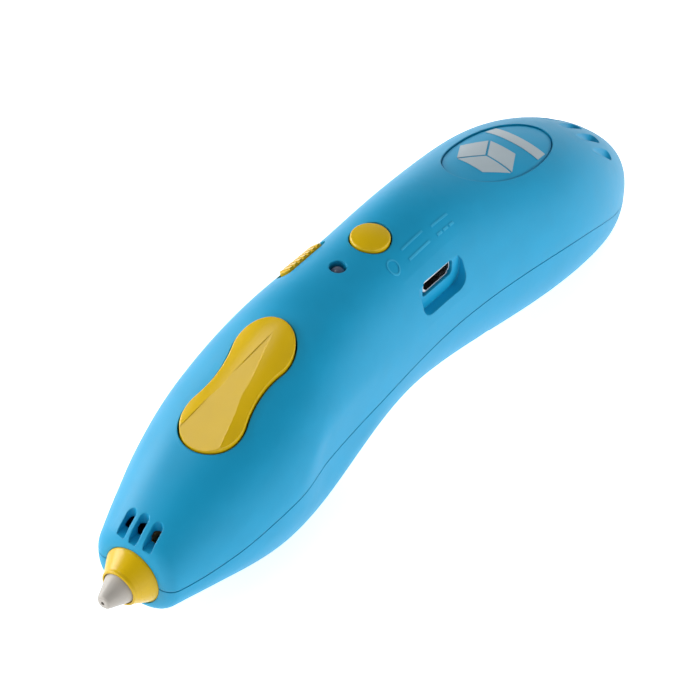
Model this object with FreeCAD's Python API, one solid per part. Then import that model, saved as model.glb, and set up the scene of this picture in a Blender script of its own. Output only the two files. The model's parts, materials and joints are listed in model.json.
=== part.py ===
"""Cordless drawing pen that melts a plastic filament and lays it down from a heated tip.

Millimetres, +X from the tip to the tail, +Z up, resting on the belly and the tail. While it is
being modelled, the front face of the housing is at x = 0 and the flats of the underside are at
z = REST_HEIGHT. Every piece is moved to the row's own origin, the bottom centre, when it is saved.
"""
import FreeCAD, Part
import math
import os

os.makedirs("parts", exist_ok=True)

V = FreeCAD.Vector
AXIS_X = V(1, 0, 0)
AXIS_Y = V(0, 1, 0)
AXIS_Z = V(0, 0, 1)
ORIGIN = V(0, 0, 0)

# ---------------------------------------------------------------- driving dimensions
LENGTH = 133.0           # housing, front face to the pole of the tail
WALL = 1.8               # housing wall
TAIL_START = 93.0        # where the housing starts to close into the tail
TAIL_POWER = 2.25        # roundness of the tail seen from the side and from above
TOP_POWER = 2.2          # superellipse powers of the cross-section above the parting line
BELLY_POWER = 2.4        # and below it
REST_HEIGHT = 0.35       # the underside is cut flat at this height
SEAM = 0.2               # width and depth of the open groove along the parting line
SEAM_DEPTH = 0.2
NOSE_ROUND = 1.8         # radius of the rim round the front face
SECTION_POINTS = 40      # points round one cross-section

# Arched housing: place along the length, then the half sizes, the height at which the housing is
# widest and the height of the parting line, which dips under that height in the middle.
STATION_X = (0.0, 12.0, 25.5, 41.0, 57.0, 74.5, 92.0, 109.0, 133.0)
RISE = (6.3, 13.0, 15.1, 18.7, 18.1, 18.9, 16.1, 15.1, 15.4)
DROP = (7.2, 10.3, 17.3, 18.5, 14.9, 15.6, 17.4, 16.4, 21.8)
HALF_WIDTH = (7.9, 11.9, 14.5, 13.8, 12.5, 12.4, 14.0, 14.9, 11.1)
WIDEST = (10.9, 13.1, 17.3, 20.7, 22.6, 22.5, 21.7, 18.3, 8.0)
PARTING = (10.9, 13.1, 17.2, 19.3, 20.9, 21.9, 21.7, 18.3, 8.0)

# Hot end: everything turns about NOSE, because the tip droops below the long axis.
NOSE = V(0, 0, 10.4)
DROOP = 3.5
COLLAR_R = 5.45
COLLAR_FRONT_R = 3.45
COLLAR_LENGTH = 3.7
COLLAR_RIM = (2.2, 3.3)  # the thicker rim that holds the collar in the housing
COLLAR_TAIL = 4.6
COLLAR_TAIL_R = 5.0
TIP_REACH = 7.7
TIP_R = 1.5
OUTLET_R = 0.35
MELT_TUBE_R = 1.95
SLEEVE_R = 3.4
FILAMENT_BORE_R = 1.05
GUIDE_TUBE_R = 1.75

# Cooling slots over the hot end. Each is blind in front, above the collar's seat.
VENTS_Y = (-2.4, 0.5, 3.1)
VENT_FRONT = 0.2
VENT_REAR = 4.4
VENT_HALF_WIDTH = 0.9
VENT_BLIND_TO = 3.1
VENT_FLOOR = 16.9

# Feed rocker: a peanut-shaped outline on the slope of the back.
FEED_FRONT_X = 20.9
FEED_FRONT_R = 5.6
FEED_REAR_X = 33.8
FEED_REAR_R = 5.3
FEED_WAIST = 4.35
FEED_PIVOT_X = 27.2
FEED_SLOPE = 24.5
FEED_PROUD = 0.7
FEED_DEPTH = 2.4
FEED_GAP = 0.3
PIVOT_DEPTH = 3.9
PIVOT_R = 0.75
FACET_FRONT_X = 14.0     # the flat facet widens from a point at its rear end
FACET_REAR_X = 36.3
FACET_DEPTH = 0.6
FEED_BOARD_DEPTH = 4.85  # from the slope down to the top of the small board
FEED_BOARD_THICK = 1.0

POWER_X = 62.4
POWER_R = 3.4
POWER_DOME_R = 14.0
LENS_X = 53.6
LENS_R = 1.4

# Finger hollows on both flanks: where each starts, is deepest and has run out, and its depth.
GRIP_START = 26.0
GRIP_DEEPEST = 35.0
GRIP_END = 58.0
GRIP_DEPTH = 0.95
GRIP_BLEND = 0.3         # how softly the hollow's flat floor runs into the flank

# Speed slider on the far shoulder: its centre on the housing and the direction it faces.
SLIDER_X = 54.0
SLIDER_Y = 7.95
SLIDER_Z = 37.2
SLIDER_TILT = 41.5
SLIDER_LENGTH = 9.4
SLIDER_WIDTH = 3.3
SLIDER_PROUD = 0.5
SLIDER_TRAVEL = 0.8
SLIDER_GAP = 0.25
SLIDER_CORNER = 1.3

# Inlet port on the near side.
PORT_X = 68.2
PORT_Z = 33.3
PORT_WIDTH = 7.5
PORT_HEIGHT = 2.6
PORT_DEPTH = 5.6
POCKET_Y = -9.9
PORT_FACE_Y = -9.55
PORT_WALL = 0.3
PORT_CHAMFER = 0.8       # the socket's two lower corners

BOARD_TOP = 33.0
BOARD_THICK = 1.2

# Feed drive: the spindle stands upright and the bevel pinion meets it from the tail side.
SPINDLE_X = 40.0
SPINDLE_Y = 2.6
SPINDLE_R = 1.0
BEVEL_Z = 24.0
GEAR_MODULE = 0.4
GEAR_TEETH = 25
PINION_TEETH = 15
FILAMENT_Y = -2.7
FILAMENT_Z = 15.0
WHEEL_R = 4.5
ROLLER_R = 3.5
ROLLER_Y = -7.15
ARM_PIVOT = V(46.5, -7.6, 0)
ARM_LEAVES = ((12.1, 13.1), (16.8, 17.5))
ARM_HALF_WIDTH = 1.9
PLATE_LOW = (10.3, 11.7)
PLATE_HIGH = (17.8, 19.0)
GEARBOX_X = 51.0
GEARBOX_LENGTH = 9.0
MOTOR_R = 6.0
MOTOR_HALF_HEIGHT = 4.9
MOTOR_LENGTH = 14.5

# Cell between the drive and the tail, and the filament inlet under it.
CELL_FRONT = V(76.5, 0, 27.3)
CELL_REAR = V(119.0, 0, 18.6)
CELL_R = 5.15
INLET_X = 124.8
INLET_Z = 8.3
WIRE_R = 0.45

BADGE_X = 98.1
BADGE_HALF_LENGTH = 13.3
BADGE_HALF_WIDTH = 6.8

# Scoops in the back of the tail.
SCOOPS_Y = (-7.4, -3.9, 0.0, 3.9, 7.4)
SCOOP_R = 1.15
SCOOP_FRONT = 117.8
SCOOP_REAR = 121.9

SCREWS = ((24.5, -8.3), (24.5, 8.3), (83.0, -8.6), (83.0, 8.6))
SCREW_R = 1.0
SCREW_HEAD_R = 1.9


# ---------------------------------------------------------------- helpers
def spline_of(values):
    """Smooth curve whose parameter is the place along the pen and whose y is the value there."""
    curve = Part.BSplineCurve()
    points = [V(x, value, 0) for x, value in zip(STATION_X, values)]
    curve.interpolate(Points=points, Parameters=list(STATION_X))
    return curve


CURVES = {name: spline_of(values) for name, values in
          (("rise", RISE), ("drop", DROP), ("width", HALF_WIDTH), ("widest", WIDEST),
           ("parting", PARTING))}


def along(name, x):
    """Value of one of the housing's curves at x."""
    return CURVES[name].value(min(max(x, 0.0), LENGTH)).y


def half_sizes(x, inset):
    """Rise, drop and half width of the housing at x, with its skin moved in by inset."""
    closing = max(0.0, (x - TAIL_START) / (LENGTH - inset - TAIL_START))
    scale = (1.0 - closing ** TAIL_POWER) ** (1.0 / TAIL_POWER)
    rim = NOSE_ROUND - inset if inset < WALL else 0.0
    ahead = min(max(NOSE_ROUND - x, 0.0), rim)
    taken = inset + rim - math.sqrt(rim ** 2 - ahead ** 2)
    return [(along(name, x) - taken) * scale for name in ("rise", "drop", "width")]


def grip_depth(x):
    """How far the finger hollow's floor lies inside the widest part of the flank at x."""
    if x <= GRIP_START or x >= GRIP_END:
        return 0.0
    if x < GRIP_DEEPEST:
        share = (x - GRIP_START) / (GRIP_DEEPEST - GRIP_START)
    else:
        share = (GRIP_END - x) / (GRIP_END - GRIP_DEEPEST)
    return GRIP_DEPTH * math.sin(share * math.pi / 2) ** 2


def gripped(reach, width, depth):
    """Distance of a point of the flank from the middle, held back by the hollow's flat floor."""
    past = reach - (width - depth) + GRIP_BLEND
    if depth == 0.0 or past <= 0.0:
        return reach
    if past >= 2 * GRIP_BLEND:
        return width - depth
    return reach - past ** 2 / (4 * GRIP_BLEND)


def section(x, inset):
    """Closed cross-section of the housing at x."""
    rise, drop, width = half_sizes(x, inset)
    depth = grip_depth(x)
    points = []
    for step in range(SECTION_POINTS):
        angle = 2 * math.pi * step / SECTION_POINTS
        cosine, sine = math.cos(angle), math.sin(angle)
        above = sine >= 0
        power = TOP_POWER if above else BELLY_POWER
        reach = gripped(width * abs(cosine) ** (2 / power), width, depth)
        y = math.copysign(reach, cosine)
        z = (rise if above else drop) * math.copysign(abs(sine) ** (2 / power), sine)
        points.append(V(x, y, along("widest", x) + z))
    curve = Part.BSplineCurve()
    curve.interpolate(Points=points, PeriodicFlag=True, Parameters=list(range(SECTION_POINTS + 1)))
    return Part.Wire(curve.toShape())


def housing(inset, first_x):
    """Solid bounded by the housing's skin moved in by inset, from first_x to the tail."""
    rim = NOSE_ROUND - first_x
    places = [first_x]
    if inset < WALL:
        places += [first_x + rim * share for share in (0.04, 0.13, 0.29, 0.5, 0.75)]
        places.append(NOSE_ROUND)
    middle = (2.6, 4.0, 6.5, 11.0, 18.0, 23.0, 26.0, 28.5, 31.0, 33.5, 36.5, 41.0, 46.0, 52.0, 58.0,
              66.0, 75.0, 84.0)
    places += [x for x in middle if x > places[-1] + 0.5]
    tail = LENGTH - inset - TAIL_START
    closing = (0.0, 0.2, 0.38, 0.54, 0.67, 0.78, 0.86, 0.92, 0.96, 0.985, 0.996)
    places += [TAIL_START + tail * share for share in closing]
    return Part.makeLoft([section(x, inset) for x in places], True, False)


def box(low, high):
    """Box between two opposite corners."""
    size = high - low
    return Part.makeBox(size.x, size.y, size.z, low)


def rod(radius, start, end):
    """Cylinder from one point to another."""
    return Part.makeCylinder(radius, (end - start).Length, start, end - start)


def tube(outer, inner, start, end):
    return rod(outer, start, end).cut(rod(inner, start, end))


def turned(points, base=ORIGIN, axis=AXIS_X):
    """Solid of revolution: points are (distance along the axis, radius), axis through base."""
    frame = FreeCAD.Rotation(AXIS_X, axis)
    corners = [V(place, radius, 0) for place, radius in points]
    face = Part.Face(Part.makePolygon(corners + corners[:1]))
    solid = face.revolve(ORIGIN, AXIS_X, 360)
    solid.Placement = FreeCAD.Placement(base, frame)
    return solid


def fuse(shapes):
    """One solid out of pieces that touch or overlap."""
    shapes = list(shapes)
    return shapes[0].multiFuse(shapes[1:]).removeSplitter()


def cut(shape, tools):
    for tool in tools:
        shape = shape.cut(tool)
    return shape


def slab(outline, low, high):
    """Upright prism of a flat outline drawn in the XY plane."""
    face = Part.Face(outline)
    face.translate(V(0, 0, low))
    return face.extrude(V(0, 0, high - low))


def polygon(points):
    corners = [V(x, y, 0) for x, y in points]
    return Part.makePolygon(corners + corners[:1])


def rounded_box(low, high, radius, axis):
    """Box whose four edges along one axis are rounded."""
    solid = box(low, high)
    edges = []
    for edge in solid.Edges:
        direction = edge.Vertexes[1].Point - edge.Vertexes[0].Point
        if direction.cross(axis).Length < 1e-6:
            edges.append(edge)
    return solid.makeFillet(radius, edges)


def stadium(x_low, x_high, y, half_width):
    """Outline of a slot along X with round ends."""
    left, right = x_low + half_width, x_high - half_width
    edges = [
        Part.LineSegment(V(left, y - half_width, 0), V(right, y - half_width, 0)),
        Part.Arc(V(right, y - half_width, 0), V(x_high, y, 0), V(right, y + half_width, 0)),
        Part.LineSegment(V(right, y + half_width, 0), V(left, y + half_width, 0)),
        Part.Arc(V(left, y + half_width, 0), V(x_low, y, 0), V(left, y - half_width, 0)),
    ]
    return Part.Wire([edge.toShape() for edge in edges])


def drooped(shape):
    """Turn a piece of the hot end from the level axis to the drooping one."""
    turned_shape = shape.copy()
    turned_shape.rotate(NOSE, AXIS_Y, -DROOP)
    return turned_shape


def s_bend(start, end):
    """Two equal tangent arcs that leave start and reach end along X."""
    run = end.x - start.x
    offset = V(0, end.y - start.y, end.z - start.z)
    side = offset.Length
    radius = (run ** 2 + side ** 2) / (4 * side)
    turn = math.asin(run / 2 / radius)
    normal = offset / side

    def on_first(angle):
        return start + AXIS_X * (radius * math.sin(angle)) + normal * (radius * (1 - math.cos(angle)))

    def on_second(angle):
        return end - AXIS_X * (radius * math.sin(angle)) - normal * (radius * (1 - math.cos(angle)))

    first = Part.Arc(start, on_first(turn / 2), on_first(turn))
    second = Part.Arc(on_second(turn), on_second(turn / 2), end)
    return Part.Wire([first.toShape(), second.toShape()])


def bent_tube(path, start, outer, inner):
    """Tube of round section along a path that leaves start along X."""
    solids = []
    for radius in (outer, inner):
        profile = Part.Wire(Part.makeCircle(radius, start, AXIS_X))
        solids.append(path.makePipeShell([profile], True, False))
    return solids[0].cut(solids[1])


# ---------------------------------------------------------------- housing
OUTER = housing(0.0, 0.0)
INNER = housing(WALL, WALL)


def above_parting(lower_by):
    """Everything above the parting line, or above a line that runs lower_by under it."""
    places = [-6.0] + list(STATION_X) + [LENGTH + 6.0]
    points = [V(x, -40, along("parting", x) - lower_by) for x in places]
    curve = Part.BSplineCurve()
    curve.interpolate(Points=points)
    ceiling = 70.0
    rim = Part.makePolygon([points[-1], V(points[-1].x, -40, ceiling), V(points[0].x, -40, ceiling),
                            points[0]])
    face = Part.Face(Part.Wire([curve.toShape()] + rim.Edges))
    return face.extrude(V(0, 80, 0))


ABOVE = above_parting(0.0)


def peanut(grow):
    """Outline of the feed rocker, or of its opening when grow is more than nothing."""
    front_r, rear_r = FEED_FRONT_R + grow, FEED_REAR_R + grow
    waist = FEED_WAIST + grow
    apart = FEED_REAR_X - FEED_FRONT_X
    low, high = 1.0, 60.0
    for _ in range(50):
        bridge = (low + high) / 2
        front_run = math.sqrt((front_r + bridge) ** 2 - (waist + bridge) ** 2)
        rear_run = math.sqrt((rear_r + bridge) ** 2 - (waist + bridge) ** 2)
        if front_run + rear_run > apart:
            high = bridge
        else:
            low = bridge
    middle = V(FEED_FRONT_X + front_run, waist + bridge, 0)
    front, rear = V(FEED_FRONT_X, 0, 0), V(FEED_REAR_X, 0, 0)
    front_touch = front + (middle - front) * (front_r / (front_r + bridge))
    rear_touch = rear + (middle - rear) * (rear_r / (rear_r + bridge))

    def mirrored(point):
        return V(point.x, -point.y, 0)

    waist_point = V(middle.x, waist, 0)
    arcs = [
        Part.Arc(mirrored(front_touch), front - V(front_r, 0, 0), front_touch),
        Part.Arc(front_touch, waist_point, rear_touch),
        Part.Arc(rear_touch, rear + V(rear_r, 0, 0), mirrored(rear_touch)),
        Part.Arc(mirrored(rear_touch), mirrored(waist_point), mirrored(front_touch)),
    ]
    return Part.Wire([arc.toShape() for arc in arcs])


def ridge(x, inset=0.0):
    """Height of the top of the housing at x."""
    return along("widest", x) + half_sizes(x, inset)[0]


def on_slope(shape):
    """Move a piece drawn round the origin to the slope under the feed rocker."""
    moved = shape.copy()
    moved.rotate(ORIGIN, AXIS_Y, -FEED_SLOPE)
    moved.translate(V(FEED_PIVOT_X, 0, ridge(FEED_PIVOT_X)))
    return moved


def on_shoulder(shape):
    """Move a piece drawn with +Z outwards to the speed slider's place."""
    moved = shape.copy()
    moved.rotate(ORIGIN, AXIS_X, SLIDER_TILT - 90)
    moved.translate(V(SLIDER_X, SLIDER_Y, SLIDER_Z))
    return moved


def tail_scoop(y):
    """Finger-shaped scoop in the back of the tail, deepest at its rear end."""
    width = along("width", SCOOP_FRONT) - 3.0
    lowered = 1 - (1 - (abs(y) / width) ** TOP_POWER) ** (1 / TOP_POWER)
    start = V(SCOOP_FRONT, y, ridge(SCOOP_FRONT) + 1.0 - lowered * 8.0)
    end = V(SCOOP_REAR, y, ridge(SCOOP_REAR) - 0.1 - lowered * 10.5)
    return rod(SCOOP_R, start, end).fuse(Part.makeSphere(SCOOP_R, end))


def port_pocket():
    """Recess for the inlet port and the opening through its floor."""
    corner = 2.2
    pocket = rounded_box(V(62.8, -30, 28.8), V(74.3, POCKET_Y, 35.3), corner, AXIS_Y)
    mouth = rounded_box(V(PORT_X - 4.05, -30, PORT_Z - 1.6), V(PORT_X + 4.05, 0, PORT_Z + 1.55),
                        0.8, AXIS_Y)
    return pocket, mouth


def badge_prism(shrink):
    """Upright oval prism at the badge."""
    outline = Part.Ellipse(V(BADGE_X, 0, 0), BADGE_HALF_LENGTH - shrink, BADGE_HALF_WIDTH - shrink)
    return slab(Part.Wire(outline.toShape()), 20, 50)


def upper_shell():
    solid = OUTER.cut(INNER).common(ABOVE)
    added = [box(V(PORT_X - 7.5, POCKET_Y - 3, 26.8), V(PORT_X + 7.5, POCKET_Y + 1.5, 37.6)),
             box(V(1.0, -4.6, 16.0), V(VENT_BLIND_TO, 5.3, 30)),
             box(V(VENT_BLIND_TO, -4.6, 18.6), V(6.2, 5.3, 30))]
    for y in (-6.4, 4.9):
        added.append(on_slope(box(V(-1.6, y, -FEED_BOARD_DEPTH), V(1.6, y + 1.5, -1.0))))
    for x, y in SCREWS:
        added.append(rod(2.3, V(x, y, along("parting", x)), V(x, y, 45)))
    solid = solid.multiFuse([piece.common(OUTER).common(ABOVE) for piece in added])
    tools = [slab(peanut(FEED_GAP), 20, 50)]
    tools.append(on_slope(rod(PIVOT_R, V(0, -6.0, -PIVOT_DEPTH), V(0, 6.0, -PIVOT_DEPTH))))
    tools.append(rod(POWER_R + 0.25, V(POWER_X, 0, 30), V(POWER_X, 0, 50)))
    tools.append(rod(LENS_R + 0.1, V(LENS_X, 0, 30), V(LENS_X, 0, 50)))
    reach = V(SLIDER_LENGTH / 2 + SLIDER_TRAVEL + SLIDER_GAP, SLIDER_WIDTH / 2 + SLIDER_GAP, 4)
    tools.append(on_shoulder(rounded_box(-reach, reach, SLIDER_CORNER + SLIDER_GAP, AXIS_Z)))
    tools += list(port_pocket())
    tools += [vent(y) for y in VENTS_Y]
    tools += [tail_scoop(y) for y in SCOOPS_Y]
    tools.append(badge_prism(0.0).cut(BADGE_FLOOR))
    tools += hot_end_bore()
    for x, y in SCREWS:
        split = along("parting", x)
        tools.append(rod(SCREW_R, V(x, y, split - 1), V(x, y, split + 7.2)))
    return cut(solid, tools + inlet_bore())


def vent(y):
    """Cutter for one cooling slot."""
    slot = slab(stadium(VENT_FRONT, VENT_REAR, y, VENT_HALF_WIDTH), 12, 30)
    return slot.cut(box(V(-1, y - 1, 11), V(VENT_BLIND_TO, y + 1, VENT_FLOOR)))


def inlet_bore():
    """Stepped bore through the tail for the inlet bush and its flange."""
    axis_point = V(INLET_X, 0, INLET_Z)
    return [rod(3.0, axis_point - V(4.8, 0, 0), axis_point + V(15, 0, 0)),
            rod(4.1, axis_point + V(6.4, 0, 0), axis_point + V(15, 0, 0))]


def hot_end_bore():
    """Bores of the front wall that take the collar and its rim."""
    start, end = COLLAR_RIM[0] - 0.1, COLLAR_RIM[1] + 0.1
    bore = rod(COLLAR_R + 0.05, NOSE - V(4, 0, 0), NOSE + V(end, 0, 0))
    rim = rod(COLLAR_R + 0.5, NOSE + V(start, 0, 0), NOSE + V(end, 0, 0))
    return [drooped(bore), drooped(rim)]


def lower_shell():
    below = box(V(-10, -30, -10), V(150, 30, REST_HEIGHT))
    skin = OUTER.cut(below)
    body = skin.cut(INNER).cut(above_parting(SEAM))
    lip = housing(SEAM_DEPTH, SEAM_DEPTH).cut(INNER).cut(ABOVE).cut(below)
    bosses = [rod(3.0, V(x, y, -5), V(x, y, 30)).common(skin).cut(ABOVE) for x, y in SCREWS]
    solid = body.multiFuse([lip] + bosses)
    tools = hot_end_bore()
    for x, y in SCREWS:
        seat = screw_seat(x)
        tools.append(rod(2.1, V(x, y, -5), V(x, y, seat)))
        tools.append(rod(SCREW_R + 0.1, V(x, y, seat - 1), V(x, y, 40)))
    return cut(solid, tools + inlet_bore())


BADGE_FLOOR = housing(1.2, 1.2)
BADGE_TOP = housing(0.3, 0.3)


def badge_plate():
    return badge_prism(0.2).common(BADGE_TOP).cut(BADGE_FLOOR)


def badge_emblem():
    """Generic block sign: three faces of a cube and a stroke beside it."""
    middle_x = BADGE_X - 3.2
    size = 5.7
    shrink = 0.92
    solids = []
    for turn in (0, 120, 240):
        angles = [math.radians(angle + turn) for angle in (30, 90, 150)]
        corners = [(middle_x + size * math.cos(angle), size * math.sin(angle)) for angle in angles]
        corners.append((middle_x, 0.0))
        centre_x = sum(x for x, y in corners) / len(corners)
        centre_y = sum(y for x, y in corners) / len(corners)
        smaller = [(centre_x + (x - centre_x) * shrink, centre_y + (y - centre_y) * shrink)
                   for x, y in corners]
        solids.append(slab(polygon(smaller), 20, 50))
    stroke = [(BADGE_X + 4.2, -5.6), (BADGE_X + 6.8, -5.2), (BADGE_X + 6.8, 5.2), (BADGE_X + 4.2, 5.6)]
    solids.append(slab(polygon(stroke), 20, 50))
    film = badge_prism(0.4).common(housing(0.2, 0.2)).cut(BADGE_TOP)
    return Part.makeCompound([solid.common(film) for solid in solids])


def rating_mark():
    """Low raised sign above the port: a ring, two bars, and a bar over three dashes."""
    film = housing(-0.08, 0.0).cut(OUTER)
    low, high = 26.0, 46.0
    half_line = 0.15
    flats = [tube(1.2, 0.95, V(60.8, -6.2, low), V(60.8, -6.2, high))]
    for start, end, y in ((64.2, 69.8, -5.2), (64.2, 69.8, -6.9), (71.8, 76.2, -5.6),
                          (71.8, 73.0, -7.0), (73.4, 74.6, -7.0), (75.0, 76.2, -7.0)):
        flats.append(box(V(start, y - half_line, low), V(end, y + half_line, high)))
    pocket = port_pocket()[0]
    return Part.makeCompound([flat.common(film).cut(pocket) for flat in flats])


def case_screws():
    screws = []
    for x, y in SCREWS:
        seat = screw_seat(x)
        split = along("parting", x)
        head = 1.3
        point = split + 6.8 - seat + head
        shank = turned([(0, 0), (0, SCREW_HEAD_R), (head, SCREW_HEAD_R), (head, SCREW_R),
                        (point - 0.8, SCREW_R), (point, 0.2), (point, 0)], V(x, y, seat - head), AXIS_Z)
        cross = fuse([box(V(x - 0.2, y - 1.1, seat - 2), V(x + 0.2, y + 1.1, seat - 0.6)),
                      box(V(x - 1.1, y - 0.2, seat - 2), V(x + 1.1, y + 0.2, seat - 0.6))])
        screws.append(shank.cut(cross))
    return Part.makeCompound(screws)


def screw_seat(x):
    """Height of the face that a case screw's head pulls against."""
    return 6.0 if x < 50 else 12.5


# ---------------------------------------------------------------- hot end
def nose_collar():
    start, end = COLLAR_RIM
    outline = [(-COLLAR_LENGTH, 3.08), (-COLLAR_LENGTH, COLLAR_FRONT_R - 0.1),
               (-COLLAR_LENGTH + 0.15, COLLAR_FRONT_R + 0.05),
               (-COLLAR_LENGTH + 0.6, COLLAR_FRONT_R + 0.15), (-0.3, COLLAR_R - 0.15), (0.0, COLLAR_R),
               (start, COLLAR_R), (start, COLLAR_R + 0.4), (end, COLLAR_R + 0.4), (end, COLLAR_TAIL_R),
               (COLLAR_TAIL, COLLAR_TAIL_R), (COLLAR_TAIL, 3.95), (-2.4, 3.95), (-2.4, 3.08)]
    return drooped(turned(outline, NOSE))


def nozzle_tip():
    outline = [(-TIP_REACH, OUTLET_R), (-TIP_REACH, TIP_R - 0.75), (-TIP_REACH + 0.08, TIP_R - 0.42),
               (-TIP_REACH + 0.27, TIP_R - 0.17), (-TIP_REACH + 0.6, TIP_R), (-3.5, 2.95), (-2.4, 3.05),
               (-2.4, 3.85), (-0.9, 3.85), (-0.9, 3.0), (1.5, 3.0), (1.5, MELT_TUBE_R),
               (-1.5, MELT_TUBE_R), (-1.5, 1.1), (-TIP_REACH + 1.9, 1.1), (-TIP_REACH + 1.0, OUTLET_R)]
    return drooped(turned(outline, NOSE))


def melt_tube():
    outline = [(-1.5, FILAMENT_BORE_R), (-1.5, MELT_TUBE_R), (1.6, MELT_TUBE_R), (1.6, 3.2), (2.4, 3.2),
               (2.4, MELT_TUBE_R), (17.5, MELT_TUBE_R), (17.5, FILAMENT_BORE_R)]
    return drooped(turned(outline, NOSE))


def heater_sleeve():
    bore = MELT_TUBE_R + 0.03
    outline = [(2.6, bore), (2.6, SLEEVE_R - 0.3), (2.9, SLEEVE_R), (10.7, SLEEVE_R),
               (11.0, SLEEVE_R - 0.3), (11.0, bore)]
    return drooped(turned(outline, NOSE))


def thermistor():
    bead_r = 0.72
    height = SLEEVE_R + bead_r + 0.03
    start, end = NOSE + V(5.5, 0, height), NOSE + V(8.5, 0, height)
    bead = fuse([rod(bead_r, start, end), Part.makeSphere(bead_r, start), Part.makeSphere(bead_r, end)])
    return drooped(bead)


def hot_end_mount():
    """Heat-proof block clamped on the cool end of the melt tube."""
    disc = rod(5.0, NOSE + V(12.5, 0, 0), NOSE + V(17.0, 0, 0))
    wings = box(NOSE + V(13.5, -8.0, -1.6), NOSE + V(16.0, 8.0, 1.6))
    bore = rod(MELT_TUBE_R + 0.02, NOSE + V(12, 0, 0), NOSE + V(18, 0, 0))
    return drooped(disc.fuse(wings).cut(bore))


def front_guide_tube():
    start = NOSE + V(17.9, 0, 1.1)
    end = V(34.5, FILAMENT_Y, FILAMENT_Z)
    return bent_tube(s_bend(start, end), start, GUIDE_TUBE_R, FILAMENT_BORE_R)


def rear_guide_tube():
    start = V(GEARBOX_X + 0.2, FILAMENT_Y, FILAMENT_Z)
    end = V(INLET_X - 0.3, 0, INLET_Z)
    return bent_tube(s_bend(start, end), start, GUIDE_TUBE_R, FILAMENT_BORE_R)


def inlet_bush():
    outline = [(0, 1.1), (0, 2.95), (6.4, 2.95), (6.4, 4.0), (7.1, 4.0), (7.6, 3.4), (7.8, 2.4),
               (7.8, 1.6), (7.3, 1.1)]
    return turned(outline, V(INLET_X, 0, INLET_Z))


# ---------------------------------------------------------------- controls
def rounded_top(solid, radius):
    """Round the rim of a button's uppermost face."""
    top = max(solid.Faces, key=lambda face: face.BoundBox.ZMax + face.CenterOfMass.z)
    return solid.makeFillet(radius, top.OuterWire.Edges)


def feed_button():
    """Peanut rocker with a flat facet on its back and two ears for the pivot pin."""
    cap = slab(peanut(0.0), 20, 50)
    cap = cap.common(housing(-FEED_PROUD, 0.0)).cut(housing(FEED_DEPTH, FEED_DEPTH))
    cap = rounded_top(cap, 0.3)
    front_x, rear_x = FACET_FRONT_X, FACET_REAR_X
    low = V(front_x, 0, ridge(front_x, -FEED_PROUD) - FACET_DEPTH)
    high = V(rear_x, 0, ridge(rear_x, -FEED_PROUD))
    corners = [low, high, high + V(0, 0, 5), low + V(0, 0, 5)]
    over_plane = Part.Face(Part.makePolygon(corners + corners[:1])).extrude(V(0, 16, 0))
    over_plane.translate(V(0, -8, 0))
    flare = slab(polygon([(rear_x, 0), (19.0, 3.7), (front_x, 4.8), (front_x, -4.8), (19.0, -3.7)]),
                 10, 60)
    wedge = over_plane.common(flare)
    ears = []
    for y in (-4.2, 3.3):
        ear = fuse([box(V(-1.5, y, -PIVOT_DEPTH), V(1.5, y + 0.9, -1.2)),
                    rod(1.5, V(0, y, -PIVOT_DEPTH), V(0, y + 0.9, -PIVOT_DEPTH))])
        ears.append(on_slope(ear))
    hole = on_slope(rod(PIVOT_R + 0.06, V(0, -9, -PIVOT_DEPTH), V(0, 9, -PIVOT_DEPTH)))
    return fuse([cap.cut(wedge)] + ears).cut(hole)


def feed_pivot():
    return on_slope(rod(PIVOT_R, V(0, -6.0, -PIVOT_DEPTH), V(0, 6.0, -PIVOT_DEPTH)))


def feed_board():
    top = -FEED_BOARD_DEPTH
    low = top - FEED_BOARD_THICK
    plate = box(V(-11.0, -2.8, low), V(11.0, 2.8, top))
    tabs = box(V(2.2, -6.2, low), V(4.4, 6.2, top))
    feet = box(V(0.4, 4.9, low), V(4.4, 6.2, top))
    return on_slope(fuse([plate, tabs, feet, feet.mirror(ORIGIN, AXIS_Y)]))


def feed_switches():
    switches = []
    for x in (-9.0, 9.0):
        top = 1.4 - FEED_BOARD_DEPTH
        body = box(V(x - 1.75, -1.75, -FEED_BOARD_DEPTH), V(x + 1.75, 1.75, top))
        plunger = rod(0.9, V(x, 0, top), V(x, 0, top + 0.55))
        switches.append(on_slope(body.fuse(plunger)))
    return Part.makeCompound(switches)


def power_button():
    top = ridge(POWER_X) + 0.6
    body = rod(POWER_R, V(POWER_X, 0, 37.2), V(POWER_X, 0, top + 1))
    dome = Part.makeSphere(POWER_DOME_R, V(POWER_X, 0, top - POWER_DOME_R))
    body = rounded_top(body.common(dome), 0.35)
    flange = rod(4.0, V(POWER_X, 0, 36.6), V(POWER_X, 0, 37.4))
    slider_side = box(V(POWER_X - 5, 1.8, 36), V(POWER_X + 5, 5, 37.2))
    return body.fuse(flange.cut(slider_side))


def power_switch():
    body = box(V(POWER_X - 3, -3, BOARD_TOP), V(POWER_X + 3, 3, BOARD_TOP + 2.4))
    return body.fuse(rod(1.6, V(POWER_X, 0, BOARD_TOP + 2.4), V(POWER_X, 0, BOARD_TOP + 2.9)))


def status_lens():
    top = ridge(LENS_X) - 0.35
    foot = rod(1.6, V(LENS_X, 0, BOARD_TOP), V(LENS_X, 0, BOARD_TOP + 0.8))
    stem = rod(LENS_R, V(LENS_X, 0, BOARD_TOP), V(LENS_X, 0, top - LENS_R))
    return fuse([foot, stem, Part.makeSphere(LENS_R, V(LENS_X, 0, top - LENS_R))])


def slider_stem(grow_x, grow):
    """Stem that reaches from the slider into the switch, or the room that it needs."""
    return on_shoulder(box(V(-0.8 - grow_x, -0.6 - grow, -4.9 - grow), V(0.8 + grow_x, 0.6 + grow, -3.0)))


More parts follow.
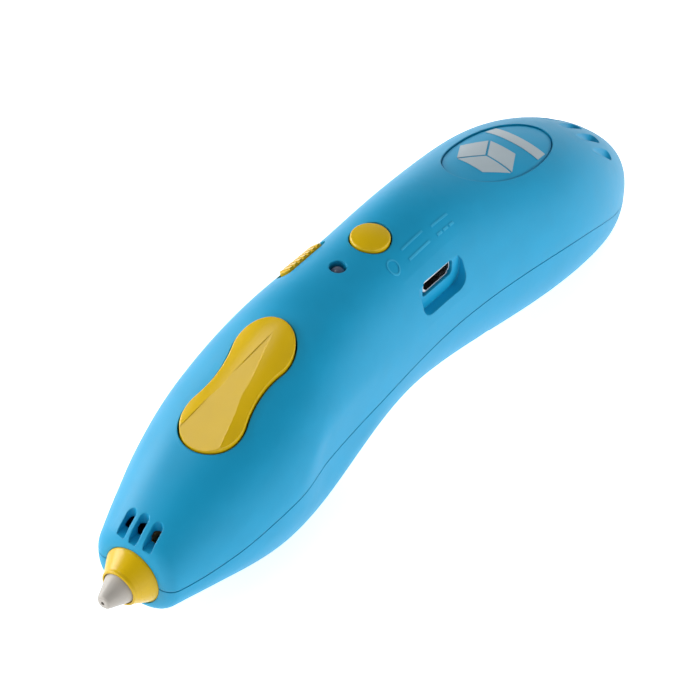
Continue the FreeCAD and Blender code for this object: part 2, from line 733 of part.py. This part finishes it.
def speed_slider():
    """Cap that follows the housing's skin, with raised ribs, over a flange and a stem."""
    reach = V(SLIDER_LENGTH / 2, SLIDER_WIDTH / 2, 3.3)
    block = on_shoulder(rounded_box(-reach, reach, SLIDER_CORNER, AXIS_Z))
    cap = block.common(housing(0.25 - SLIDER_PROUD, 0.0))
    ribs = []
    for step in range(7):
        x = -3.6 + 1.2 * step
        ribs.append(on_shoulder(box(V(x - 0.35, -4, -1.5), V(x + 0.35, 4, 3))))
    raised = block.common(housing(-SLIDER_PROUD, 0.0))
    flange = on_shoulder(box(V(-reach.x - 1.2, -3.2, -3.6), V(reach.x + 0.1, 3.2, -2.9)))
    return fuse([cap] + [raised.common(rib) for rib in ribs] + [flange, slider_stem(0, 0)])


def slide_switch():
    body = box(V(SLIDER_X - 4.2, 1.9, BOARD_TOP), V(SLIDER_X + 4.2, 4.4, BOARD_TOP + 2.0))
    return body.cut(slider_stem(SLIDER_TRAVEL + 0.3, 0.3))


def main_board():
    plate = box(V(45.0, -8.1, BOARD_TOP - BOARD_THICK), V(75.5, 8.1, BOARD_TOP))
    notch = box(V(44.0, 4.5, 30), V(63.5, 9, 35))
    half = PORT_WIDTH / 2 + 0.02
    port_seat = box(V(PORT_X - half, -9, 30), V(PORT_X + half, PORT_FACE_Y + PORT_DEPTH + 0.02, 35))
    return cut(plate, [notch, port_seat])


def board_chips():
    """Controller, coil and capacitors on the main board."""
    chips = [box(V(47.0, -5.6, BOARD_TOP), V(52.0, -1.8, BOARD_TOP + 1.2)),
             box(V(68.5, 2.4, BOARD_TOP), V(73.5, 7.0, BOARD_TOP + 2.4)),
             box(V(55.5, -6.6, BOARD_TOP), V(57.5, -3.4, BOARD_TOP + 1.0)),
             rod(1.6, V(66.4, 5.6, BOARD_TOP), V(66.4, 5.6, BOARD_TOP + 2.6))]
    for step in range(4):
        x = 69.0 + 1.4 * step
        chips.append(box(V(x, -1.2, BOARD_TOP), V(x + 0.8, 0.4, BOARD_TOP + 0.6)))
    return Part.makeCompound(chips)


def port_shape(shrink, y_low, y_high):
    """Prism of the port's five-sided opening: both lower corners are cut off."""
    half = PORT_WIDTH / 2 - shrink
    low, high = PORT_Z - PORT_HEIGHT / 2 + shrink, PORT_Z + PORT_HEIGHT / 2 - shrink
    slant = low + PORT_CHAMFER + 0.1
    corners = [V(PORT_X - half, y_low, high), V(PORT_X + half, y_low, high), V(PORT_X + half, y_low, slant),
               V(PORT_X + half - PORT_CHAMFER, y_low, low), V(PORT_X - half + PORT_CHAMFER, y_low, low),
               V(PORT_X - half, y_low, slant)]
    return Part.Face(Part.makePolygon(corners + corners[:1])).extrude(V(0, y_high - y_low, 0))


def usb_socket():
    shell = port_shape(0.0, PORT_FACE_Y, PORT_FACE_Y + PORT_DEPTH)
    hollow = port_shape(PORT_WALL, PORT_FACE_Y - 1, PORT_FACE_Y + PORT_DEPTH - 2 * PORT_WALL)
    return shell.cut(hollow)


def usb_tongue():
    """Insulating block at the back of the socket with the blade that carries the contacts."""
    gap = 0.02
    back = port_shape(PORT_WALL + gap, PORT_FACE_Y + PORT_DEPTH - 2.0,
                      PORT_FACE_Y + PORT_DEPTH - 2 * PORT_WALL - gap)
    blade = box(V(PORT_X - 1.9, PORT_FACE_Y + 0.5, PORT_Z + 0.1),
                V(PORT_X + 1.9, PORT_FACE_Y + 4.2, PORT_Z + 0.7))
    return back.fuse(blade)


# ---------------------------------------------------------------- bevel gears
def involute(angle):
    return math.tan(angle) - angle


def tooth_outline(virtual_teeth, module, height, depth):
    """Half thickness of an involute tooth at several heights above the pitch line."""
    pressure = math.radians(20)
    pitch_r = virtual_teeth * module / 2
    base_r = pitch_r * math.cos(pressure)
    backlash = 0.1
    pitch_half = (math.pi * module / 2 - backlash) / 2
    steps = 5
    outline = []
    for step in range(steps + 1):
        level = -depth + (height + depth) * step / steps
        radius = pitch_r + level
        slope = math.acos(min(1.0, base_r / radius))
        half = radius * (pitch_half / pitch_r + involute(pressure) - involute(slope))
        outline.append((half, level))
    right = [(half, level) for half, level in outline]
    left = [(-half, level) for half, level in reversed(outline)]
    return right + left


def bevel(teeth, mate_teeth, bore, hub_r, hub_end, first_angle):
    """Bevel gear with its apex at the origin and its axis along +Z, teeth towards the apex."""
    pitch_r, mate_r = teeth * GEAR_MODULE / 2, mate_teeth * GEAR_MODULE / 2
    cone = math.atan2(pitch_r, mate_r)
    inner_share = 0.66
    height, depth = 0.85 * GEAR_MODULE, 1.15 * GEAR_MODULE
    pitch_point = V(pitch_r, 0, mate_r)
    outward = V(math.cos(cone), 0, -math.sin(cone))
    root = pitch_point - outward * depth
    back = pitch_point - outward * (depth + 0.7)
    corners = [(root.z * inner_share, bore), (root.z * inner_share, root.x * inner_share), (root.z, root.x),
               (back.z, back.x), (max(back.z, hub_end - 0.6), hub_r), (hub_end, hub_r), (hub_end, bore)]
    blank = turned(corners, ORIGIN, AXIS_Z)
    outline = tooth_outline(teeth / math.cos(cone), GEAR_MODULE, height, depth + 0.05)
    pieces = [blank]
    for index in range(teeth):
        wires = []
        for share in (1.0, inner_share):
            points = [(pitch_point + outward * level + AXIS_Y * half) * share for half, level in outline]
            wires.append(Part.makePolygon(points + points[:1]))
        tooth = Part.makeLoft(wires, True, True)
        tooth.rotate(ORIGIN, AXIS_Z, first_angle + 360.0 * index / teeth)
        pieces.append(tooth)
    return fuse(pieces)


APEX = V(SPINDLE_X, SPINDLE_Y, BEVEL_Z)


def bevel_gear():
    gear = bevel(GEAR_TEETH, PINION_TEETH, SPINDLE_R, 2.4, 4.7, 0.0)
    gear.rotate(ORIGIN, AXIS_X, 180)
    gear.translate(APEX)
    return gear


def bevel_pinion():
    """Pinion with its first tooth half a pitch away from the line that faces the gear."""
    pinion = bevel(PINION_TEETH, GEAR_TEETH, SPINDLE_R, 1.9, 7.2, 180.0 / PINION_TEETH)
    pinion.rotate(ORIGIN, AXIS_Y, 90)
    pinion.translate(APEX)
    return pinion


# ---------------------------------------------------------------- feed drive
def drive_spindle():
    return rod(SPINDLE_R, V(SPINDLE_X, SPINDLE_Y, 9.6), V(SPINDLE_X, SPINDLE_Y, 22.3))


def drive_wheel():
    """Knurled wheel with a shallow groove that grips the filament."""
    centre = V(SPINDLE_X, SPINDLE_Y, 0)
    low, high = FILAMENT_Z - 1.6, FILAMENT_Z + 1.6
    groove = 0.35
    outline = [(low, SPINDLE_R), (low, WHEEL_R - 0.2), (low + 0.2, WHEEL_R), (FILAMENT_Z - 0.7, WHEEL_R),
               (FILAMENT_Z - 0.3, WHEEL_R - groove), (FILAMENT_Z + 0.3, WHEEL_R - groove),
               (FILAMENT_Z + 0.7, WHEEL_R), (high - 0.2, WHEEL_R), (high, WHEEL_R - 0.2), (high, SPINDLE_R)]
    wheel = turned(outline, centre, AXIS_Z)
    teeth = 30
    notches = []
    for index in range(teeth):
        notch = box(V(-0.15, -0.15, low - 1), V(0.15, 0.15, high + 1))
        notch.rotate(ORIGIN, AXIS_Z, 45)
        notch.translate(V(WHEEL_R, 0, 0))
        notch.rotate(ORIGIN, AXIS_Z, 360.0 * index / teeth)
        notch.translate(centre)
        notches.append(notch)
    return wheel.cut(notches[0].multiFuse(notches[1:]))


def output_shaft():
    return rod(SPINDLE_R, APEX + V(3.7, 0, 0), APEX + V(GEARBOX_X - SPINDLE_X + 2.0, 0, 0))


def gearbox():
    """Stack of reduction stages between two plates."""
    start, end = GEARBOX_X, GEARBOX_X + GEARBOX_LENGTH
    body = box(V(start, SPINDLE_Y - 5.9, BEVEL_Z - MOTOR_HALF_HEIGHT),
               V(end, SPINDLE_Y + 5.9, BEVEL_Z + MOTOR_HALF_HEIGHT))
    slots = []
    for x in (start + 1.2, start + 6.6):
        slots.append(box(V(x, SPINDLE_Y - 7, BEVEL_Z - 3.6), V(x + 1.2, SPINDLE_Y - 5.0, BEVEL_Z + 3.6)))
        slots.append(box(V(x, SPINDLE_Y + 5.0, BEVEL_Z - 3.6), V(x + 1.2, SPINDLE_Y + 7, BEVEL_Z + 3.6)))
    bore = rod(SPINDLE_R + 0.04, APEX + V(5, 0, 0), APEX + V(GEARBOX_X - SPINDLE_X + 2.3, 0, 0))
    return cut(body, slots + [bore])


def motor_can():
    start = GEARBOX_X + GEARBOX_LENGTH
    end = start + MOTOR_LENGTH
    can = rod(MOTOR_R, V(start, SPINDLE_Y, BEVEL_Z), V(end, SPINDLE_Y, BEVEL_Z))
    flats = box(V(start, SPINDLE_Y - 7, BEVEL_Z - MOTOR_HALF_HEIGHT),
                V(end, SPINDLE_Y + 7, BEVEL_Z + MOTOR_HALF_HEIGHT))
    boss = rod(2.0, V(end, SPINDLE_Y, BEVEL_Z), V(end + 0.8, SPINDLE_Y, BEVEL_Z))
    return can.common(flats).fuse(boss)


def spindle_bushes():
    bushes = []
    for low, high in (PLATE_LOW, PLATE_HIGH):
        start, end = V(SPINDLE_X, SPINDLE_Y, low), V(SPINDLE_X, SPINDLE_Y, high)
        bushes.append(tube(2.0, SPINDLE_R + 0.04, start, end))
    return Part.makeCompound(bushes)


def drive_frame():
    """Bracket of two plates and a back wall, with an upright flange that carries the gearbox."""
    outline = [(34.6, -6.0), (36.4, -9.0), (48.5, -10.0), (51.0, -8.0), (51.0, 8.3), (36.0, 9.0),
               (34.6, 8.0)]
    plates = [slab(polygon(outline), low, high) for low, high in (PLATE_LOW, PLATE_HIGH)]
    wall = box(V(36.0, 7.3, PLATE_LOW[0]), V(51.0, 8.7, PLATE_HIGH[1]))
    flange = box(V(49.5, -3.4, PLATE_LOW[0]), V(51.0, 8.6, BEVEL_Z + 5.0))
    guides = [box(V(34.6, FILAMENT_Y - 2.6, PLATE_LOW[0]), V(36.0, FILAMENT_Y + 2.6, PLATE_HIGH[1]))]
    solid = fuse(plates + [wall, flange] + guides)
    holes = [rod(2.0, V(SPINDLE_X, SPINDLE_Y, 5), V(SPINDLE_X, SPINDLE_Y, 19.5)),
             rod(1.0, ARM_PIVOT + V(0, 0, 5), ARM_PIVOT + V(0, 0, 25)),
             rod(1.6, V(30, FILAMENT_Y, FILAMENT_Z), V(53, FILAMENT_Y, FILAMENT_Z)),
             rod(SPINDLE_R + 0.5, APEX + V(8, 0, 0), APEX + V(12, 0, 0))]
    return cut(solid.common(housing(WALL + 0.1, WALL)), holes)


def arm_outline():
    """Leaf of the idler arm: two rounds joined by straight sides."""
    roller = V(SPINDLE_X, ROLLER_Y, 0)
    line = (ARM_PIVOT - roller)
    side = V(-line.y, line.x, 0).normalize() * ARM_HALF_WIDTH
    ahead = line.normalize() * ARM_HALF_WIDTH
    pivot = ARM_PIVOT
    edges = [Part.LineSegment(roller - side, pivot - side),
             Part.Arc(pivot - side, pivot + ahead, pivot + side),
             Part.LineSegment(pivot + side, roller + side),
             Part.Arc(roller + side, roller - ahead, roller - side)]
    return Part.Wire([edge.toShape() for edge in edges])


def idler_arm():
    """Two leaves with the roller between them, joined by a web beside the pivot."""
    leaves = [slab(arm_outline(), low, high) for low, high in ARM_LEAVES]
    web = box(V(43.85, -9.9, ARM_LEAVES[0][0]), V(44.45, -6.0, ARM_LEAVES[1][1]))
    keep = slab(arm_outline(), ARM_LEAVES[0][0], ARM_LEAVES[1][1])
    solid = fuse(leaves + [web.common(keep)])
    pivot_hole = rod(SPINDLE_R + 0.05, ARM_PIVOT + V(0, 0, 5), ARM_PIVOT + V(0, 0, 25))
    roller_place = V(SPINDLE_X, ROLLER_Y, 0)
    roller_pin = rod(0.8, roller_place + V(0, 0, ARM_LEAVES[0][0]), roller_place + V(0, 0, ARM_LEAVES[1][1]))
    return solid.cut(pivot_hole).fuse(roller_pin)


def idler_roller():
    outline = [(13.45, 0.84), (13.45, 3.3), (13.65, ROLLER_R), (16.3, ROLLER_R), (16.5, 3.3), (16.5, 0.84)]
    return turned(outline, V(SPINDLE_X, ROLLER_Y, 0), AXIS_Z)


def idler_pivot():
    return rod(1.0, ARM_PIVOT + V(0, 0, PLATE_LOW[0]), ARM_PIVOT + V(0, 0, PLATE_HIGH[1] + 0.4))


def idler_spring():
    """Close-wound torsion spring on the arm's pivot pin, drawn as a stack of touching rings."""
    wire_r, coil_r, rings = 0.2, 1.45, 7
    pitch = 0.38
    first = ARM_PIVOT + V(0, 0, 13.55)
    return fuse([Part.makeTorus(coil_r, wire_r, first + V(0, 0, pitch * ring)) for ring in range(rings)])


# ---------------------------------------------------------------- battery and wiring
def battery_cell():
    direction = (CELL_REAR - CELL_FRONT).normalize()
    body = rod(CELL_R, CELL_FRONT, CELL_REAR - direction)
    cap = rod(1.8, CELL_REAR - direction, CELL_REAR)
    return body.fuse(cap)


def battery_cradle():
    """Two saddles that stand in the lower shell, with a gap each for the guide tube."""
    room = housing(WALL + 0.05, WALL)
    saddles = []
    for x in (86.0, 106.0):
        along_cell = (x - CELL_FRONT.x) / (CELL_REAR.x - CELL_FRONT.x)
        top = CELL_FRONT.z + (CELL_REAR.z - CELL_FRONT.z) * along_cell
        saddle = box(V(x, -9.0, 0), V(x + 3.0, 9.0, top))
        saddles.append(saddle.common(room))
    rail = box(V(86.0, 6.0, 11.0), V(109.0, 8.0, 13.0))
    rails = [rail.common(room), rail.mirror(ORIGIN, AXIS_Y).common(room)]
    solid = fuse(saddles + rails)
    cell = rod(CELL_R + 0.02, CELL_FRONT, CELL_REAR)
    passage = box(V(80, -3.4, -5), V(115, 3.4, 14.6))
    return cut(solid, [cell, passage])


def wire_run(radius, points):
    """Insulated wire through straight stretches with ball corners."""
    pieces = [rod(radius, start, end) for start, end in zip(points, points[1:])]
    pieces += [Part.makeSphere(radius, point) for point in points[1:-1]]
    return fuse(pieces)


def wiring():
    """Leads of the cell, the motor and the heater up to the boards."""
    runs = []
    for side in (-1, 1):
        terminal = V(75.2, SPINDLE_Y + side * 4.2, 24.6)
        runs.append([terminal, V(75.2, side * 7.0, 27.0), V(74.4, side * 7.0, BOARD_TOP - 1.8)])
        runs.append([V(9.5, side * 2.6, 14.3), V(14.0, side * 5.4, 17.5), V(24.0, side * 5.2, 20.5),
                     V(34.0, side * 6.0, 24.0), V(46.5, side * 5.0, BOARD_TOP - 1.8)])
    return Part.makeCompound([wire_run(WIRE_R, points) for points in runs])


PIECES = (upper_shell, lower_shell, badge_plate, badge_emblem, rating_mark, case_screws, nose_collar,
          nozzle_tip, melt_tube, heater_sleeve, thermistor, hot_end_mount, front_guide_tube,
          rear_guide_tube, inlet_bush, feed_button, feed_pivot, feed_board, feed_switches, power_button,
          power_switch, status_lens, speed_slider, slide_switch, main_board, board_chips, usb_socket,
          usb_tongue, bevel_gear, bevel_pinion, drive_spindle, drive_wheel, output_shaft, gearbox,
          motor_can, spindle_bushes, drive_frame, idler_arm, idler_roller, idler_pivot, idler_spring,
          battery_cell, battery_cradle, wiring)


def save_all():
    """Build every piece, find the middle of the whole and save each piece about the origin."""
    shapes = {piece.__name__: piece() for piece in PIECES}
    whole = Part.makeCompound(list(shapes.values())).optimalBoundingBox()
    shift = V(-(whole.XMin + whole.XMax) / 2, 0, -REST_HEIGHT)
    print("x from", round(whole.XMin, 3), "to", round(whole.XMax, 3), "y", round(whole.YMin, 3),
          round(whole.YMax, 3), "z", round(whole.ZMin, 3), round(whole.ZMax, 3), "shift", shift)
    for name, shape in shapes.items():
        shape.translate(shift)
        shape.exportStep("parts/" + name + ".step")
        print(name, "solids", len(shape.Solids), "volume", round(shape.Volume, 2), "valid", shape.isValid())


save_all()
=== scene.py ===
import json
import math

import bpy
from mathutils import Matrix, Vector


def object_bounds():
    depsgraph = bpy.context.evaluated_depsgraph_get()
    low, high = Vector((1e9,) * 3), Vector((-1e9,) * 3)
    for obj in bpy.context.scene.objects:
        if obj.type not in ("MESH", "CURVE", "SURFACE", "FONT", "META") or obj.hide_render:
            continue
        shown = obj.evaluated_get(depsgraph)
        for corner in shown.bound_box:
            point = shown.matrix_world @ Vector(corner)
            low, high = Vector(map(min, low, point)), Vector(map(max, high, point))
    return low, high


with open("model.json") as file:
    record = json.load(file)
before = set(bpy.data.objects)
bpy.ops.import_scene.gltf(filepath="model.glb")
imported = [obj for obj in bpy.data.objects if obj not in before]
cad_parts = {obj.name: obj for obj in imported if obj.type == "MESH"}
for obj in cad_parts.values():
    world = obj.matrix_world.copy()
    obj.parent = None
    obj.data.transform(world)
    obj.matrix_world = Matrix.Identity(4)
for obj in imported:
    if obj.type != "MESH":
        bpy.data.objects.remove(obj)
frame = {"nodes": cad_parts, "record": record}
cad_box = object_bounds()

MM = 0.001
SCENE = bpy.context.scene
BEVEL_SAMPLES = 6
MOTTLE_MM = 6.0
GLOSS_PATCH_MM = 1.5
METAL_GRAIN_MM = 0.25
FLOOR_REACH = 3.0
FLOOR_GAP = 0.0002


# ---------------------------------------------------------------- node helpers
def new_material(name, base, roughness, metallic=0.0):
    """Material with one shader whose constant values sit on its own sockets."""
    material = bpy.data.materials.new(name)
    material.use_nodes = True
    shader = material.node_tree.nodes["Principled BSDF"]
    shader.inputs["Base Color"].default_value = (*base, 1.0)
    shader.inputs["Roughness"].default_value = roughness
    shader.inputs["Metallic"].default_value = metallic
    return material, material.node_tree, shader


def place_noise(tree, size_mm, detail=3.0, stretch=(1, 1, 1)):
    """Noise in the object's own space with features of about size_mm."""
    coordinates = tree.nodes.new("ShaderNodeTexCoord")
    mapping = tree.nodes.new("ShaderNodeMapping")
    mapping.inputs["Scale"].default_value = stretch
    noise = tree.nodes.new("ShaderNodeTexNoise")
    noise.inputs["Scale"].default_value = 1.0 / (size_mm * MM)
    noise.inputs["Detail"].default_value = detail
    tree.links.new(coordinates.outputs["Object"], mapping.inputs["Vector"])
    tree.links.new(mapping.outputs["Vector"], noise.inputs["Vector"])
    return noise.outputs["Fac"]


def tint(tree, shader, factor, dark, light):
    """Base colour between two close tones."""
    ramp = tree.nodes.new("ShaderNodeValToRGB")
    ramp.color_ramp.elements[0].position = 0.3
    ramp.color_ramp.elements[0].color = (*dark, 1.0)
    ramp.color_ramp.elements[1].position = 0.7
    ramp.color_ramp.elements[1].color = (*light, 1.0)
    tree.links.new(factor, ramp.inputs["Fac"])
    tree.links.new(ramp.outputs["Color"], shader.inputs["Base Color"])


def vary_roughness(tree, shader, factor, low, high):
    span = tree.nodes.new("ShaderNodeMapRange")
    span.inputs["To Min"].default_value = low
    span.inputs["To Max"].default_value = high
    tree.links.new(factor, span.inputs["Value"])
    tree.links.new(span.outputs["Result"], shader.inputs["Roughness"])


def add_bump(tree, shader, height, depth_mm, edge_mm=0.0):
    """Relief on the surface, over edges that are softened to a radius of edge_mm."""
    bump = tree.nodes.new("ShaderNodeBump")
    bump.inputs["Distance"].default_value = depth_mm * MM
    tree.links.new(height, bump.inputs["Height"])
    if edge_mm:
        edge = tree.nodes.new("ShaderNodeBevel")
        edge.samples = BEVEL_SAMPLES
        edge.inputs["Radius"].default_value = edge_mm * MM
        tree.links.new(edge.outputs["Normal"], bump.inputs["Normal"])
    tree.links.new(bump.outputs["Normal"], shader.inputs["Normal"])


def shade(colour, amount):
    return tuple(min(1.0, channel * amount) for channel in colour)


def moulded(name, colour, roughness, grain_mm=0.12, grain_depth=0.004, mottle=0.03,
            edge_mm=0.0, gloss=0.5):
    """Moulded plastic: faint mottling, fine spark-eroded grain and uneven gloss."""
    material, tree, shader = new_material(name, colour, roughness)
    shader.inputs["Specular IOR Level"].default_value = gloss
    cloud = place_noise(tree, MOTTLE_MM)
    tint(tree, shader, cloud, shade(colour, 1 - mottle), shade(colour, 1 + mottle))
    grain = place_noise(tree, grain_mm, 2.0)
    vary_roughness(tree, shader, place_noise(tree, GLOSS_PATCH_MM), roughness - 0.04, roughness + 0.04)
    add_bump(tree, shader, grain, grain_depth, edge_mm)
    return material


def metal(name, colour, roughness, grain=(1, 1, 1), depth=0.003):
    """Machined or plated metal with a directional grain."""
    material, tree, shader = new_material(name, colour, roughness, 1.0)
    lines = place_noise(tree, METAL_GRAIN_MM, 3.0, grain)
    tint(tree, shader, lines, shade(colour, 0.86), shade(colour, 1.08))
    vary_roughness(tree, shader, place_noise(tree, 0.8), roughness - 0.06, roughness + 0.08)
    add_bump(tree, shader, lines, depth)
    return material


MATERIALS = {
    "shell_blue": moulded("shell_blue", (0.004, 0.330, 0.590), 0.45, edge_mm=0.3, gloss=0.35),
    # mark_blue is a lighter copy of shell_blue: a painted highlight on the raised rating mark, which
    # is the same shell plastic
    "mark_blue": moulded("mark_blue", (0.030, 0.400, 0.660), 0.45, gloss=0.35),
    "accent_yellow": moulded("accent_yellow", (0.700, 0.455, 0.001), 0.24, 0.2, 0.002,
                             edge_mm=0.2, gloss=0.4),
    "emblem_silver": moulded("emblem_silver", (0.43, 0.52, 0.57), 0.35, 0.25, 0.003),
    "screw_steel": metal("screw_steel", (0.55, 0.55, 0.56), 0.35),
    "tip_ceramic": moulded("tip_ceramic", (0.46, 0.43, 0.39), 0.38, 0.3, 0.003),
    "brass": metal("brass", (0.70, 0.48, 0.18), 0.30, (1, 6, 6)),
    "heater_ceramic": moulded("heater_ceramic", (0.80, 0.77, 0.70), 0.7),
    "thermistor_glass": moulded("thermistor_glass", (0.60, 0.42, 0.20), 0.15),
    "black_plastic": moulded("black_plastic", (0.012, 0.012, 0.014), 0.4),
    "guide_white": moulded("guide_white", (0.78, 0.78, 0.75), 0.35),
    "steel": metal("steel", (0.60, 0.60, 0.62), 0.25),
    "board_green": moulded("board_green", (0.010, 0.120, 0.050), 0.35),
    "lens_clear": moulded("lens_clear", (0.10, 0.12, 0.17), 0.12, 0.4, 0.001),
    "chip_black": moulded("chip_black", (0.015, 0.015, 0.017), 0.5),
    "port_steel": metal("port_steel", (0.72, 0.72, 0.73), 0.22),
    "gearbox_steel": metal("gearbox_steel", (0.62, 0.58, 0.46), 0.30),
    "motor_steel": metal("motor_steel", (0.62, 0.62, 0.64), 0.28),
    "frame_white": moulded("frame_white", (0.70, 0.70, 0.67), 0.45),
    "cell_wrap": moulded("cell_wrap", (0.02, 0.10, 0.36), 0.22, 0.8, 0.004),
    "wire_red": moulded("wire_red", (0.40, 0.01, 0.01), 0.40),
}

for subpart in frame["record"]["subparts"]:
    node = frame["nodes"][subpart["node"]]
    node.data.materials.clear()
    # the raised rating mark gets the lighter mark_blue, which paints a highlight on it
    painted_highlight_mark = subpart["node"] == "rating_mark"
    node.data.materials.append(MATERIALS["mark_blue" if painted_highlight_mark else subpart["material_slot"]])

# ---------------------------------------------------------------- camera
TARGET = Vector((-4.633, 0.0, 18.22)) * MM
AZIMUTH = math.radians(-53.66)
ELEVATION = math.radians(43.5)
ROLL = math.radians(1.94)
DISTANCE = 0.989
LENS = 302.55

level = math.cos(ELEVATION)
back = Vector((math.sin(AZIMUTH) * level, -math.cos(AZIMUTH) * level, math.sin(ELEVATION)))
right = Vector((math.cos(AZIMUTH), math.sin(AZIMUTH), 0.0))
up = back.cross(right)
rolled_right = right * math.cos(ROLL) + up * math.sin(ROLL)
rolled_up = up * math.cos(ROLL) - right * math.sin(ROLL)

camera_data = bpy.data.cameras.new("camera")
camera_data.lens = LENS
camera_data.clip_start = 0.05
camera_data.clip_end = 20.0
camera = bpy.data.objects.new("camera", camera_data)
SCENE.collection.objects.link(camera)
columns = (rolled_right, rolled_up, back, TARGET + back * DISTANCE)
rows = [[column[row] for column in columns] for row in range(3)]
camera.matrix_world = Matrix((*rows, [0, 0, 0, 1]))
SCENE.camera = camera


# ---------------------------------------------------------------- light and floor
LIGHT_AIM = Vector((0, 0, 0.02))


def area_light(name, place, size, power, glossy=True):
    """Rectangular lamp turned to the part; one that is not glossy leaves no reflection of itself."""
    data = bpy.data.lights.new(name, "AREA")
    data.shape = "RECTANGLE"
    data.size, data.size_y = size
    data.energy = power
    lamp = bpy.data.objects.new(name, data)
    lamp.location = place
    lamp.visible_glossy = glossy
    lamp.rotation_euler = (LIGHT_AIM - Vector(place)).to_track_quat("-Z", "Y").to_euler()
    SCENE.collection.objects.link(lamp)


world = bpy.data.worlds.new("studio")
world.use_nodes = True
SCENE.world = world
tree = world.node_tree
coordinates = tree.nodes.new("ShaderNodeTexCoord")
split = tree.nodes.new("ShaderNodeSeparateXYZ")
ramp = tree.nodes.new("ShaderNodeValToRGB")
ramp.color_ramp.elements[0].position = 0.0
ramp.color_ramp.elements[0].color = (1.0, 1.0, 1.0, 1)
ramp.color_ramp.elements[1].position = 0.75
ramp.color_ramp.elements[1].color = (0.10, 0.10, 0.10, 1)
tree.links.new(coordinates.outputs["Generated"], split.inputs["Vector"])
tree.links.new(split.outputs["Z"], ramp.inputs["Fac"])
tree.links.new(ramp.outputs["Color"], tree.nodes["Background"].inputs["Color"])
tree.nodes["Background"].inputs["Strength"].default_value = 1.0

floor_mesh = bpy.data.meshes.new("floor")
corners = [(x * FLOOR_REACH, y * FLOOR_REACH, 0) for x, y in ((-1, -1), (1, -1), (1, 1), (-1, 1))]
floor_mesh.from_pydata(corners, [], [(0, 1, 2, 3)])
floor = bpy.data.objects.new("floor", floor_mesh)
floor.location.z = cad_box[0][2] - FLOOR_GAP
SCENE.collection.objects.link(floor)
floor_material, floor_tree, floor_shader = new_material("floor_white", (0.9, 0.9, 0.9), 0.8)
floor_shader.inputs["Emission Color"].default_value = (1, 1, 1, 1)
floor_shader.inputs["Emission Strength"].default_value = 0.75
floor_mesh.materials.append(floor_material)

area_light("left_back", (-0.35, 0.85, 0.30), (0.9, 0.5), 8.2)
area_light("right_front", (0.55, -0.80, 0.12), (0.8, 0.2), 3.5, glossy=False)
area_light("overhead", (-0.23, 0.52, 0.93), (0.25, 0.25), 1.0)
area_light("sky_fill", (0.10, -0.15, 1.10), (0.8, 0.8), 2.2, glossy=False)

SCENE.view_settings.view_transform = "Standard"
